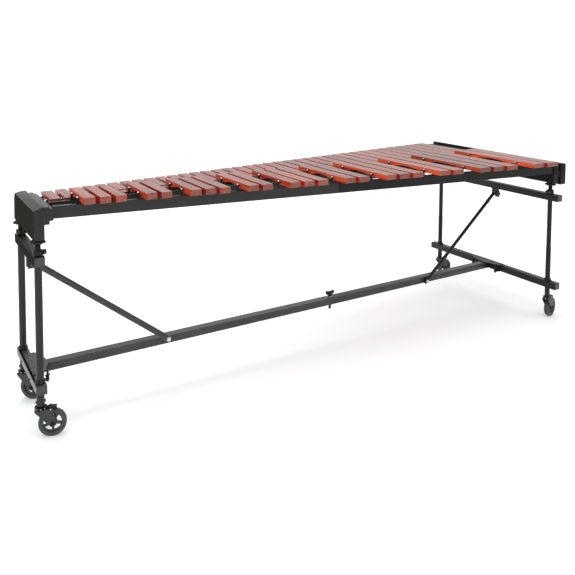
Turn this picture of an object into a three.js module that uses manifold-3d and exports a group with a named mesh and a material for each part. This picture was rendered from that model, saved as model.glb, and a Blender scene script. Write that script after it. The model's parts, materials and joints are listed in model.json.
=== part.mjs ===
// Five-octave bar percussion keyboard on a knock-down rolling stand.
// Millimetres, +Z up, +X towards the wide bass end, -Y towards the accidental bars' side.
// Until the last lines X = 0 is the treble end's cross tubes and Z = 0 is the floor.
import * as THREE from "three";
import { mergeVertices } from "three/addons/utils/BufferGeometryUtils.js";
import Module from "manifold-3d";

const wasm = await Module();
wasm.setup();

// ---- driving dimensions ----
const GAP = 0.3; // clearance between touching pieces
const SPAN = 2550; // treble cross tubes to bass cross tubes, centre to centre
// Each end: half-widths in Y of its tubes, legs and board, and its board's and hanger's faces
// counted inwards from the middle of its cross tubes.
const TREBLE = {
  name: "treble", x: 0, inward: 1, reach: 198, leg: 167, legRadius: 13.7, footRadius: 13.7,
  board: { inner: 19, outer: -19, reach: 198, innerTop: 857, outerTop: 844.5 },
  hanger: { step: 46, stop: 60, bottom: 780, reach: 153 },
};
const BASS = {
  name: "bass", x: SPAN, inward: -1, reach: 466, leg: 405, legRadius: 12, footRadius: 13,
  board: { inner: 12, outer: -30, reach: 474, innerTop: 857, outerTop: 842 },
  hanger: { step: 24, stop: 64, bottom: 746, reach: 470 },
};
const ENDS = [TREBLE, BASS];

const CROSS = { width: 37, height: 34, wall: 2.5 };
const LOWER_TOP = 204;
const UPPER_TOP = 676;
const BEAM = { width: 40, height: 33, wall: 2.5, split: 1420, bolt: 1406 };

const LEG = { bore: 10.5, bottom: 117.2, step: 385, collarRadius: 18, collarHeight: 21 };
const POST = { radius: 10.1, bottom: 495, shoulder: 719, rodRadius: 6 };
const HAND_WHEEL = { radius: 30, bottom: 721.5, height: 10, lobes: 7 };

const WHEEL = { radius: 50, tread: 12.5, hub: 15.5, trail: 40, axle: 4 };
const FORK = { cheek: 3, gap: 18, top: 107, raceTop: 116.9, stemTop: 155 };
// How far each caster is swivelled at rest, in degrees from trailing towards the bass end.
const CASTER_TURN = { treble_near: -13, treble_far: -40, bass_near: 15, bass_far: 2 };

const BOARD_BOTTOM = 736;
const RAIL = { outerWidth: 20, innerWidth: 18, split: 1240 };
const ACCIDENTAL_RAIL = { top: 843.5, height: 47 };
const NATURAL_RAIL = { top: 816.5, height: 34 };
const RAIL_START = TREBLE.hanger.stop + 2 * GAP;
const RAIL_END = SPAN - BASS.hanger.stop - 2 * GAP;

const OCTAVES = 5;
const NATURALS = 7 * OCTAVES + 1;
const NATURAL_TOP = 850;
const ACCIDENTAL_TOP = 877;
const KEYS_START = 64.8; // first bar boundary
const PITCH = { treble: 55.7, growth: 30.7 }; // bar plus gap
const BAR_GAP = { treble: 15.9, growth: -5.8 };
const BAR_THICKNESS = { treble: 26, bass: 20.7 };
const NODE_SHARE = 0.224; // where a free bar doesn't move, as a share of its length
const CORD_RADIUS = 2;

// Lines in plan, Y = at + slope * X.
const line = (at, slope) => (x) => at + slope * x;
const ACCIDENTAL_NEAR = line(-185.9, -0.1528);
const ACCIDENTAL_FAR = line(4, 0);
const NATURAL_NEAR = line(-38, -0.0245);
const NATURAL_FAR = line(115.6, 0.1518);
const ROWS = {
  accidental_outer: { at: line(-121, -0.1345), width: RAIL.outerWidth, ...ACCIDENTAL_RAIL },
  accidental_inner: { at: line(-54, -0.0245), width: RAIL.innerWidth, ...ACCIDENTAL_RAIL },
  natural_inner: { at: line(-7, 0.016), width: RAIL.innerWidth, ...NATURAL_RAIL },
  natural_outer: { at: line(69, 0.116), width: RAIL.outerWidth, ...NATURAL_RAIL },
};

// ---- materials ----
const paint = (color, roughness, metalness = 0) =>
  new THREE.MeshStandardMaterial({ color, roughness, metalness });
const FRAME_BLACK = paint(0x35383a, 0.45, 0.3);
const RAIL_BLACK = paint(0x2c2d2e, 0.55);
const BOARD_BLACK = paint(0x34362f, 0.5);
const PLASTIC_BLACK = paint(0x18191a, 0.6);
const STEEL = paint(0x9a9c9e, 0.3, 0.9);
const RUBBER = paint(0x2a2a2b, 0.8);
const PADAUK = paint(0xc4512b, 0.45);

// ---- solids ----
function solid(geometry) {
  const plain = new THREE.BufferGeometry();
  plain.setAttribute("position", geometry.toNonIndexed().getAttribute("position"));
  const merged = mergeVertices(plain, 1e-4);
  return new wasm.Manifold(
    new wasm.Mesh({
      numProp: 3,
      vertProperties: new Float32Array(merged.attributes.position.array),
      triVerts: new Uint32Array(merged.index.array),
    }),
  );
}
const indexed = (geometry) => (geometry.index ? geometry : mergeVertices(geometry));
const asSolid = (geometry) => solid(indexed(geometry));
const join = (...pieces) => pieces.reduce((whole, piece) => whole.add(piece));
const cut = (piece, ...tools) => tools.reduce((rest, tool) => rest.subtract(tool), piece);

/** A box from its low corner to its high corner. */
function box(x0, y0, z0, x1, y1, z1) {
  const geometry = new THREE.BoxGeometry(x1 - x0, y1 - y0, z1 - z0);
  geometry.translate((x0 + x1) / 2, (y0 + y1) / 2, (z0 + z1) / 2);
  return asSolid(geometry);
}

/** A round rod between two points. */
function rod(radius, from, to, sides = 12) {
  const a = new THREE.Vector3(...from);
  const b = new THREE.Vector3(...to);
  const geometry = new THREE.CylinderGeometry(radius, radius, a.distanceTo(b), sides);
  const up = new THREE.Vector3(0, 1, 0);
  const turn = new THREE.Quaternion().setFromUnitVectors(up, b.clone().sub(a).normalize());
  geometry.applyQuaternion(turn);
  geometry.translate((a.x + b.x) / 2, (a.y + b.y) / 2, (a.z + b.z) / 2);
  return asSolid(geometry);
}

const upright = (radius, x, y, z0, z1, sides) => rod(radius, [x, y, z0], [x, y, z1], sides);
const acrossY = (radius, x, z, y0, y1, sides) => rod(radius, [x, y0, z], [x, y1, z], sides);

/** An outline of [X, Z] points carried along Y. */
function prism(outline, y0, y1) {
  const shape = new THREE.Shape(outline.map(([x, z]) => new THREE.Vector2(x, z)));
  const geometry = new THREE.ExtrudeGeometry(shape, { depth: y1 - y0, bevelEnabled: false });
  geometry.rotateX(Math.PI / 2);
  geometry.translate(0, y1, 0);
  return asSolid(geometry);
}

/** An outline of [X, Y] points carried up Z. */
function plate(outline, z0, z1) {
  const shape = new THREE.Shape(outline.map(([x, y]) => new THREE.Vector2(x, y)));
  const geometry = new THREE.ExtrudeGeometry(shape, { depth: z1 - z0, bevelEnabled: false });
  geometry.translate(0, 0, z0);
  return asSolid(geometry);
}

/** An outline of [Y, Z] points carried along X. */
function prismAlongX(outline, x0, x1) {
  const shape = new THREE.Shape(outline.map(([y, z]) => new THREE.Vector2(y, z)));
  const geometry = new THREE.ExtrudeGeometry(shape, { depth: x1 - x0, bevelEnabled: false });
  geometry.rotateX(Math.PI / 2);
  geometry.rotateZ(Math.PI / 2);
  geometry.translate(x0, 0, 0);
  return asSolid(geometry);
}

const instrument = new THREE.Group();

function node(name, material, piece) {
  const { vertProperties, triVerts } = piece.getMesh();
  const geometry = new THREE.BufferGeometry();
  geometry.setAttribute("position", new THREE.BufferAttribute(new Float32Array(vertProperties), 3));
  geometry.setIndex(new THREE.BufferAttribute(new Uint32Array(triVerts), 1));
  geometry.computeVertexNormals();
  const mesh = new THREE.Mesh(geometry, material);
  mesh.name = name;
  instrument.add(mesh);
  return mesh;
}

// ---- stand ----
function crossTube(end, top, legRadius) {
  const { width, height, wall } = CROSS;
  const half = width / 2;
  const outside = box(end.x - half, -end.reach, top - height, end.x + half, end.reach, top);
  const inside = box(
    end.x - half + wall, -end.reach - 1, top - height + wall,
    end.x + half - wall, end.reach + 1, top - wall,
  );
  const holes = [-1, 1].map((side) =>
    upright(legRadius + GAP, end.x, side * end.leg, top - height - 1, top + 1),
  );
  return cut(outside, inside, ...holes);
}

/** A leg tube with its collar on the lower cross tube and the height clamp on the upper one. */
function leg(end, side) {
  const y = side * end.leg;
  const top = UPPER_TOP + GAP + LEG.collarHeight;
  const tube = upright(end.legRadius, end.x, y, LEG.step - 1, top);
  const foot = upright(end.footRadius, end.x, y, LEG.bottom, LEG.step);
  const collars = [[LOWER_TOP + GAP, LOWER_TOP + 12], [UPPER_TOP + GAP, top]].map(([z0, z1]) =>
    upright(LEG.collarRadius, end.x, y, z0, z1),
  );
  const bore = upright(LEG.bore, end.x, y, LEG.bottom - 1, top + 1);
  return cut(join(tube, foot, ...collars), bore);
}

function heightPost(end, side) {
  const y = side * end.leg;
  const post = upright(POST.radius, end.x, y, POST.bottom, POST.shoulder);
  const threadedRod = upright(POST.rodRadius, end.x, y, POST.shoulder - 1, BOARD_BOTTOM - GAP, 12);
  return join(post, threadedRod);
}

/** A lobed knob: a hub with round lobes about a vertical axis. */
function lobedKnob(x, y, z0, { radius, height, lobes }, boreRadius) {
  const lobeRadius = radius * 0.3;
  const reach = radius - lobeRadius;
  const parts = [upright(reach, x, y, z0, z0 + height, 2 * lobes)];
  for (let i = 0; i < lobes; i++) {
    const turn = (i / lobes) * 2 * Math.PI;
    const lobe = [x + reach * Math.cos(turn), y + reach * Math.sin(turn)];
    parts.push(upright(lobeRadius, ...lobe, z0 + 0.5, z0 + height - 0.5, 6));
  }
  const body = join(...parts);
  return boreRadius ? cut(body, upright(boreRadius, x, y, z0 - 1, z0 + height + 1, 12)) : body;
}

for (const end of ENDS) {
  node(`lower_cross_tube_${end.name}`, FRAME_BLACK, crossTube(end, LOWER_TOP, end.footRadius));
  node(`upper_cross_tube_${end.name}`, FRAME_BLACK, crossTube(end, UPPER_TOP, end.legRadius));
  for (const [side, sideName] of [[-1, "near"], [1, "far"]]) {
    const tag = `${end.name}_${sideName}`;
    const y = side * end.leg;
    node(`leg_${tag}`, FRAME_BLACK, leg(end, side));
    node(`height_post_${tag}`, STEEL, heightPost(end, side));
    const wheel = lobedKnob(end.x, y, HAND_WHEEL.bottom, HAND_WHEEL, POST.rodRadius + GAP);
    node(`level_knob_${tag}`, PLASTIC_BLACK, wheel);
  }
}

// ---- stretcher beam in two halves, its corner brackets and wing bolt ----
const BEAM_TOP = LOWER_TOP;
const BEAM_BOTTOM = BEAM_TOP - BEAM.height;
const BRACKET = { wing: 100, cheek: 38, thickness: 4, screwX: 18, screwY: 84 };
const BOLT_RADIUS = 4;

function beamTube(x0, x1) {
  const { width, wall } = BEAM;
  const half = width / 2;
  return cut(
    box(x0, -half, BEAM_BOTTOM, x1, half, BEAM_TOP),
    box(x0 - 1, -half + wall, BEAM_BOTTOM + wall, x1 + 1, half - wall, BEAM_TOP - wall),
  );
}

/** The gusset that ties the beam to a cross tube: a top plate, an angle and two clamp screws. */
function cornerBracket(end) {
  const face = end.x + end.inward * (CROSS.width / 2 + GAP);
  const along = (d) => face + end.inward * d;
  const { wing, cheek, thickness, screwX, screwY } = BRACKET;
  const slab = (a, b, y0, y1, z0, z1) =>
    box(Math.min(along(a), along(b)), y0, z0, Math.max(along(a), along(b)), y1, z1);
  const low = BEAM_BOTTOM + 2;
  const top = BEAM_TOP + GAP;
  const inner = BEAM.width / 2 + GAP;
  const outer = inner + thickness;
  const plan = [
    [along(-30), -wing], [along(10), -wing], [along(cheek), -outer],
    [along(cheek), outer], [along(10), wing], [along(-30), wing],
  ];
  if (end.inward < 0) plan.reverse();
  const screws = [-screwY, screwY].flatMap((y) => [
    upright(BOLT_RADIUS, along(screwX), y, BEAM_BOTTOM - 15, top + 4, 8),
    upright(8, along(screwX), y, BEAM_BOTTOM - 14, BEAM_BOTTOM - 3, 6),
    slab(0, screwX + 10, y - 9, y + 9, BEAM_BOTTOM - 3, BEAM_BOTTOM + 3),
  ]);
  return join(
    plate(plan, top, top + thickness),
    slab(0, thickness, -wing, -inner, BEAM_BOTTOM - 3, top + 1),
    slab(0, thickness, inner, wing, BEAM_BOTTOM - 3, top + 1),
    slab(thickness - 0.5, cheek, -outer, -inner, low, top + 1),
    slab(thickness - 0.5, cheek, inner, outer, low, top + 1),
    ...screws,
  );
}
for (const end of ENDS) node(`corner_bracket_${end.name}`, FRAME_BLACK, cornerBracket(end));

// ---- diagonal braces, beside the beam on the accidental bars' side ----
const SIDE_GAP = 1;
const CHEEK = 3; // plate thickness of the brackets at the braces' heads
const BRACES = {
  treble: { foot: [541, 200.5], head: [14, 611], radius: 12.5 },
  bass: { foot: [2022, 184], head: [2538, 613], radius: 9 },
};
for (const piece of Object.values(BRACES)) piece.y = -(BEAM.width / 2 + 4 + piece.radius);
const FOOT_REACH = 14; // tube beyond the foot pin
const PIN_RADIUS = 4;

/** The pin on the beam's side that a brace's foot turns on: spacer, shank and bolt head. */
function footPin({ foot: [x, z], radius, y }) {
  const side = -BEAM.width / 2;
  const outer = y - radius - SIDE_GAP;
  return join(
    acrossY(8, x, z, y + radius + SIDE_GAP, side + 0.5),
    acrossY(PIN_RADIUS, x, z, outer - 1, side),
    acrossY(7.5, x, z, outer - 6, outer, 6),
  );
}

function brace({ foot: [fx, fz], head: [hx, hz], radius, y }) {
  const length = Math.hypot(hx - fx, hz - fz);
  const along = (d) => [fx + ((hx - fx) * d) / length, y, fz + ((hz - fz) * d) / length];
  const tube = cut(
    rod(radius, along(-FOOT_REACH), along(length), 14),
    rod(radius - 2, along(-FOOT_REACH - 1), along(length + 1), 14),
  );
  return cut(tube, acrossY(PIN_RADIUS + GAP, fx, fz, y - radius - 1, y + radius + 1));
}

/** The inverted channel under the upper cross tube that a brace's head fits up into. */
function headBracket(end, { head: [hx, hz], radius, y }) {
  const inner = radius + SIDE_GAP;
  const outer = inner + CHEEK;
  const top = UPPER_TOP - CROSS.height - GAP;
  const [x0, x1] = [end.x - CROSS.width / 2, end.x + CROSS.width / 2];
  const web = box(x0, y - outer, top - 4, x1, y + outer, top);
  const cheeks = [-1, 1].map((side) => box(
    x0 + 3, y + (side < 0 ? -outer : inner), hz - 14, x1 - 3, y + (side < 0 ? -inner : outer), top - 3,
  ));
  const screwHole = acrossY(BOLT_RADIUS + GAP, hx, hz, y - outer - 1, y - inner + 1);
  return cut(join(web, ...cheeks), screwHole);
}

/** The bass brace's clamp screw: a lobed grip whose screw presses on the brace's head. */
function braceKnob({ head: [hx, hz], radius, y }) {
  const face = y - radius - SIDE_GAP - CHEEK - GAP;
  const tip = y - radius - GAP;
  const lobes = [0, 1, 2, 3, 4].map((i) => {
    const turn = (i / 5) * 2 * Math.PI;
    return acrossY(6, hx + 14 * Math.cos(turn), hz + 14 * Math.sin(turn), face - 19, face - 9, 8);
  });
  return join(
    acrossY(8, hx, hz, face - 9, face),
    acrossY(15, hx, hz, face - 20, face - 8),
    acrossY(BOLT_RADIUS, hx, hz, face - 1, tip, 8),
    ...lobes,
  );
}

const BEAM_START = CROSS.width / 2 + GAP + BRACKET.thickness + GAP;
const boltHole = upright(BOLT_RADIUS + GAP, BEAM.bolt, 0, BEAM_BOTTOM - 20, BEAM_TOP + 1);
const weldNut = upright(9, BEAM.bolt, 0, BEAM_BOTTOM - 12, BEAM_BOTTOM + 1, 6);
const trebleTube = beamTube(BEAM_START, BEAM.split - GAP);
const trebleHalf = join(trebleTube, footPin(BRACES.treble), weldNut);
node("stretcher_treble_half", FRAME_BLACK, cut(trebleHalf, boltHole));

/** A square pipe along the beam's middle, inset from the beam's outside. */
function pipe(x0, x1, inset, wall) {
  const half = BEAM.width / 2 - inset;
  const [low, top] = [BEAM_BOTTOM + inset, BEAM_TOP - inset];
  return cut(
    box(x0, -half, low, x1, half, top),
    box(x0 - 1, -half + wall, low + wall, x1 + 1, half - wall, top - wall),
  );
}
const spigot = pipe(BEAM.split - 70, BEAM.split + 40, BEAM.wall + 0.4, 3);
const liner = pipe(BEAM.split + 1, BEAM.split + 39, BEAM.wall - 0.5, 2);
const bassTube = beamTube(BEAM.split, SPAN - BEAM_START);
const bassHalf = join(bassTube, spigot, liner, footPin(BRACES.bass));
node("stretcher_bass_half", FRAME_BLACK, cut(bassHalf, boltHole));

function wingBolt() {
  const z = BEAM_TOP + GAP;
  const x = BEAM.bolt;
  const wings = [-1, 1].map((side) => box(x + side * 15 - 9, -3, z + 10, x + side * 15 + 9, 3, z + 33));
  return join(
    upright(BOLT_RADIUS, x, 0, BEAM_BOTTOM - 28, z + 6, 8),
    upright(12, x, 0, z, z + 12),
    upright(8, x, 0, z + 11, z + 26),
    ...wings,
  );
}
node("stretcher_wing_bolt", PLASTIC_BLACK, wingBolt());

node("brace_treble", FRAME_BLACK, brace(BRACES.treble));
node("brace_bass", FRAME_BLACK, brace(BRACES.bass));
node("brace_bracket_treble", FRAME_BLACK, headBracket(TREBLE, BRACES.treble));
node("brace_bracket_bass", FRAME_BLACK, headBracket(BASS, BRACES.bass));
node("brace_knob_bass", PLASTIC_BLACK, braceKnob(BRACES.bass));

// ---- casters, each built about its own swivel axis with the wheel trailing towards +X ----
const PEDAL = { x: 34, z: 105, width: 11, pin: 2.5 };

function casterFork() {
  const inner = FORK.gap - FORK.cheek;
  const { trail, radius } = WHEEL;
  const outline = [
    [-22, FORK.top], [-22, FORK.top - 5], [trail - 12, radius - 12], [trail + 12, radius - 12],
    [trail + 10, radius + 20], [PEDAL.x + 8, FORK.top + 3], [PEDAL.x - 6, FORK.top + 3],
  ];
  const race = upright(22, 0, 0, FORK.top - 1, FORK.raceTop);
  const stem = upright(LEG.bore - 0.5, 0, 0, FORK.raceTop - 1, FORK.stemTop);
  return join(
    prism(outline, -FORK.gap, -inner),
    prism(outline, inner, FORK.gap),
    box(-22, -FORK.gap, FORK.top - 5, 20, FORK.gap, FORK.top),
    acrossY(WHEEL.axle, trail, radius, -FORK.gap - 5, FORK.gap + 5),
    acrossY(PEDAL.pin, PEDAL.x, PEDAL.z, -FORK.gap, FORK.gap, 8),
    race,
    stem,
  );
}

/** The foot pedal on its pin, with the shoe that presses on the tread. */
function brakePedal() {
  const { x, z, width, pin } = PEDAL;
  const outline = [[x - 7, z - 3.4], [x + 7, z - 3.6], [x + 22, z], [x + 22, z + 6], [x - 7, z + 5]];
  return cut(prism(outline, -width, width), acrossY(pin + GAP, x, z, -width - 1, width + 1, 8));
}

const SPOKES = 5;

function casterWheel() {
  const { radius, tread, hub, axle } = WHEEL;
  const bore = axle + GAP;
  const [web, hubRadius, rimRadius, face] = [5, 14, 34, hub - 1.5];
  const profile = [
    [bore, -face], [hubRadius, -face], [hubRadius, -web], [rimRadius, -web], [rimRadius, -tread],
    [radius, -tread], [radius, tread], [rimRadius, tread], [rimRadius, web],
    [hubRadius, web], [hubRadius, face], [bore, face], [bore, -face],
  ].map(([r, y]) => new THREE.Vector2(r, y));
  const body = asSolid(new THREE.LatheGeometry(profile, 16));
  const holes = Array.from({ length: SPOKES }, (_, i) => {
    const turn = (i / SPOKES) * 2 * Math.PI;
    const [x, z] = [24 * Math.cos(turn), 24 * Math.sin(turn)];
    return acrossY(6.5, x, z, -web - 3, web + 3, 6);
  });
  return cut(body, ...holes);
}

for (const end of ENDS) {
  for (const [side, sideName] of [[-1, "near"], [1, "far"]]) {
    const tag = `${end.name}_${sideName}`;
    const swivel = new THREE.Group();
    swivel.position.set(end.x, side * end.leg, 0);
    swivel.rotation.z = THREE.MathUtils.degToRad(CASTER_TURN[tag]);
    instrument.add(swivel);
    swivel.add(node(`caster_fork_${tag}`, STEEL, casterFork()));
    const wheel = node(`caster_wheel_${tag}`, RUBBER, casterWheel());
    wheel.position.set(WHEEL.trail, 0, WHEEL.radius);
    swivel.add(wheel);
    swivel.add(node(`brake_pedal_${tag}`, PLASTIC_BLACK, brakePedal()));
  }
}

// ---- end boards and the stepped hangers that carry the rails ----
/** A prism along Y from an outline whose first figures count inwards from an end's own middle. */
function endPrism(end, outline, reach) {
  const points = outline.map(([d, z]) => [end.x + end.inward * d, z]);
  if (end.inward < 0) points.reverse();
  return prism(points, -reach, reach);
}

/** A treble or bass end board: its top slopes down outwards, and one end of it is relieved. */
function endBoard(end) {
  const { inner, outer, reach, innerTop, outerTop } = end.board;
  const plank = endPrism(end, [
    [outer, BOARD_BOTTOM], [inner, BOARD_BOTTOM], [inner, innerTop], [inner - 8, innerTop],
    [outer, outerTop],
  ], reach);
  const side = end === TREBLE
    ? [[-reach, innerTop], [-reach, BOARD_BOTTOM], [reach, BOARD_BOTTOM], [reach - 4, 822],
      [reach - 16, 842], [reach - 34, 853], [reach - 56, innerTop]]
    : [[-reach, innerTop - 11], [-reach, BOARD_BOTTOM], [reach, BOARD_BOTTOM], [reach, innerTop]];
  const outline = prismAlongX(side, end.x - 40, end.x + 40);
  return plank.intersect(outline);
}

function railHanger(end) {
  const face = end.board.inner + GAP;
  const { step, stop, bottom, reach } = end.hanger;
  const top = ACCIDENTAL_RAIL.top;
  const profile = end === TREBLE
    ? [[face, bottom], [step, bottom], [step, bottom + 13], [stop, bottom + 13],
      [stop, top - 4], [step, top - 4], [step, top + 2], [face, top + 2]]
    : [[face, bottom + 29], [step, bottom + 29], [step, bottom], [stop, bottom],
      [stop, top], [step, top], [step, top - 34], [face, top - 34]];
  return endPrism(end, profile, reach);
}
for (const end of ENDS) {
  node(`end_board_${end.name}`, BOARD_BLACK, endBoard(end));
  node(`rail_hanger_${end.name}`, RAIL_BLACK, railHanger(end));
}

// ---- where the bars lie ----
const last = NATURALS - 1;
const pitchAt = (i) => PITCH.treble + PITCH.growth * (i / last) ** 2;
/** X of the middle of the gap on the treble side of natural bar i, counted from the treble end. */
const boundary = (i) => KEYS_START + PITCH.treble * i + (PITCH.growth * i ** 3) / (3 * last ** 2);
const gapAt = (i) => BAR_GAP.treble + (BAR_GAP.growth * i) / last;
const thicknessAt = (i) =>
  BAR_THICKNESS.treble + ((BAR_THICKNESS.bass - BAR_THICKNESS.treble) * i) / last;

const naturalBars = Array.from({ length: NATURALS }, (_, i) => {
  const x = (boundary(i) + boundary(i + 1)) / 2;
  return {
    x, width: boundary(i + 1) - boundary(i) - gapAt(i), thickness: thicknessAt(i),
    near: NATURAL_NEAR(x), far: NATURAL_FAR(x), top: NATURAL_TOP, gap: gapAt(i),
  };
});

/** Accidental bars stand over the gaps A-B, G-A, F-G, D-E and C-D of each octave. */
const ACCIDENTAL_GAPS = [2, 3, 4, 6, 7];
const accidentalOctave = (octave) => ACCIDENTAL_GAPS.map((step) => {
  const i = 7 * octave + step;
  const x = boundary(i);
  return {
    x, width: pitchAt(i) - gapAt(i), thickness: thicknessAt(i),
    near: ACCIDENTAL_NEAR(x), far: ACCIDENTAL_FAR(x), top: ACCIDENTAL_TOP, gap: gapAt(i),
  };
});
const accidentalBars = Array.from({ length: OCTAVES }, (_, octave) => accidentalOctave(octave)).flat();

/** A bar with its underside scooped out between the two cord holes. */
function bar({ x, width, thickness, near, far, top }) {
  const bottom = top - thickness;
  const length = far - near;
  const scoopEnd = length * (NODE_SHARE + 0.06);
  const scoopDepth = thickness * (0.35 + 0.25 * Math.min(1, length / 560));
  const steps = 4;
  const outline = [[near, top], [near, bottom]];
  for (let i = 0; i <= steps; i++) {
    const t = i / steps;
    const y = near + scoopEnd + (length - 2 * scoopEnd) * t;
    outline.push([y, bottom + scoopDepth * Math.sin(Math.PI * t)]);
  }
  outline.push([far, bottom], [far, top]);
  return prismAlongX(outline, x - width / 2, x + width / 2);
}

/** Bars strung on their two cords as one piece. */
function barSet(bars, rows) {
  const first = bars[0];
  const final = bars[bars.length - 1];
  const x0 = first.x - first.width / 2 - first.gap / 2 + 1.5;
  const x1 = final.x + final.width / 2 + final.gap / 2 - 1.5;
  const z = first.top - (first.thickness + final.thickness) / 4;
  const cords = rows.map((row) => rod(CORD_RADIUS, [x0, row(x0), z], [x1, row(x1), z], 3));
  return join(...bars.map(bar), ...cords);
}

const naturalRows = [ROWS.natural_inner.at, ROWS.natural_outer.at];
const accidentalRows = [ROWS.accidental_outer.at, ROWS.accidental_inner.at];
for (let octave = 0; octave < OCTAVES; octave++) {
  const from = octave === 0 ? 0 : 7 * octave + 1;
  const naturals = naturalBars.slice(from, 7 * octave + 8);
  node(`natural_bars_${OCTAVES - octave}`, PADAUK, barSet(naturals, naturalRows));
  const accidentals = accidentalOctave(octave);
  node(`accidental_bars_${OCTAVES - octave}`, PADAUK, barSet(accidentals, accidentalRows));
}

// ---- rails with the pegs that hold the cords between the bars ----
const naturalPegs = Array.from({ length: NATURALS + 1 }, (_, i) => boundary(i));
const accidentalPegs = accidentalBars.flatMap((piece, i) => {
  const startsGroup = i % 5 === 0 || i % 5 === 3;
  const after = piece.x + (piece.width + piece.gap) / 2;
  return startsGroup ? [piece.x - (piece.width + piece.gap) / 2, after] : [after];
});
const PEG = { width: 8, depth: 10 };

function railHalf({ at, top, width, height }, x0, x1, pegs, barTop) {
  const side = width / 2;
  const plan = [[x0, at(x0) - side], [x1, at(x1) - side], [x1, at(x1) + side], [x0, at(x0) + side]];
  const standing = pegs
    .filter((x) => x > x0 + PEG.width / 2 && x < x1 - PEG.width / 2)
    .map((x) => box(
      x - PEG.width / 2, at(x) - PEG.depth / 2, top - 0.5,
      x + PEG.width / 2, at(x) + PEG.depth / 2, barTop - 16,
    ));
  return join(plate(plan, top - height, top), ...standing);
}

for (const [rowName, row] of Object.entries(ROWS)) {
  const natural = rowName.startsWith("natural");
  const pegs = natural ? naturalPegs : accidentalPegs;
  const barTop = natural ? NATURAL_TOP : ACCIDENTAL_TOP;
  const treble = railHalf(row, RAIL_START, RAIL.split - GAP / 2, pegs, barTop);
  const bass = railHalf(row, RAIL.split + GAP / 2, RAIL_END, pegs, barTop);
  node(`rail_${rowName}_treble`, RAIL_BLACK, treble);
  node(`rail_${rowName}_bass`, RAIL_BLACK, bass);
}

// ---- the origin is the centre of the bounding box, on the floor ----
const extent = new THREE.Box3().setFromObject(instrument);
const centre = extent.getCenter(new THREE.Vector3());
instrument.position.set(-centre.x, -centre.y, -extent.min.z);

export default instrument;
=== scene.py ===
"""Looks for the five-octave bar keyboard on its rolling stand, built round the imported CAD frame."""
import json
import math
import random

import bmesh
import bpy
from mathutils import Matrix, Vector

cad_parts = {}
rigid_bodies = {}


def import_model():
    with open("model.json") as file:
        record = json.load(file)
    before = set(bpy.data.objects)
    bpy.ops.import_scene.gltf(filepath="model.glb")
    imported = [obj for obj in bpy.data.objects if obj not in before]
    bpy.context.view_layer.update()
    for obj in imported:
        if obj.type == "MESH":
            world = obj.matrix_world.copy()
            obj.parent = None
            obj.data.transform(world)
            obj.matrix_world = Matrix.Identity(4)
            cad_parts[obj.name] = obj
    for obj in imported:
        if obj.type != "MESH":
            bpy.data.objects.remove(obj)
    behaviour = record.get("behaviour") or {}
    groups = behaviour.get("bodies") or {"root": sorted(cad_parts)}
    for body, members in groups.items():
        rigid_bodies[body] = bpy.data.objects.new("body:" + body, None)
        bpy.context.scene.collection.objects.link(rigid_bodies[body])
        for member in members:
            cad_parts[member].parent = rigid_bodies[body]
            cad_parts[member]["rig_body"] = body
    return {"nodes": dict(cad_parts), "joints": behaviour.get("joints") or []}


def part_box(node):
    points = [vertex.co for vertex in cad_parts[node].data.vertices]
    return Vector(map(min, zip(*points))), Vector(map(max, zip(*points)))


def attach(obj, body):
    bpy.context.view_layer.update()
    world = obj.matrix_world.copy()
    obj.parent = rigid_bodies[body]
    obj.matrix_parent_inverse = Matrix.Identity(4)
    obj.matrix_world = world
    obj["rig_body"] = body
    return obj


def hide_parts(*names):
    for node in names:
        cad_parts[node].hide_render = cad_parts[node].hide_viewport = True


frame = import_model()
JOINTS = {joint["name"]: joint for joint in frame["joints"]}
NODES = frame["nodes"]
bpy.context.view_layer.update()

ENDS = {"treble": 1, "bass": -1}  # the way along X towards the instrument's middle
TAGS = [(end, f"{end}_{side}") for end in ENDS for side in ("near", "far")]
UP = (0, 0, 1)
SEAT_GAP = 0.0003  # what a piece keeps from the one it rests on


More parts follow.
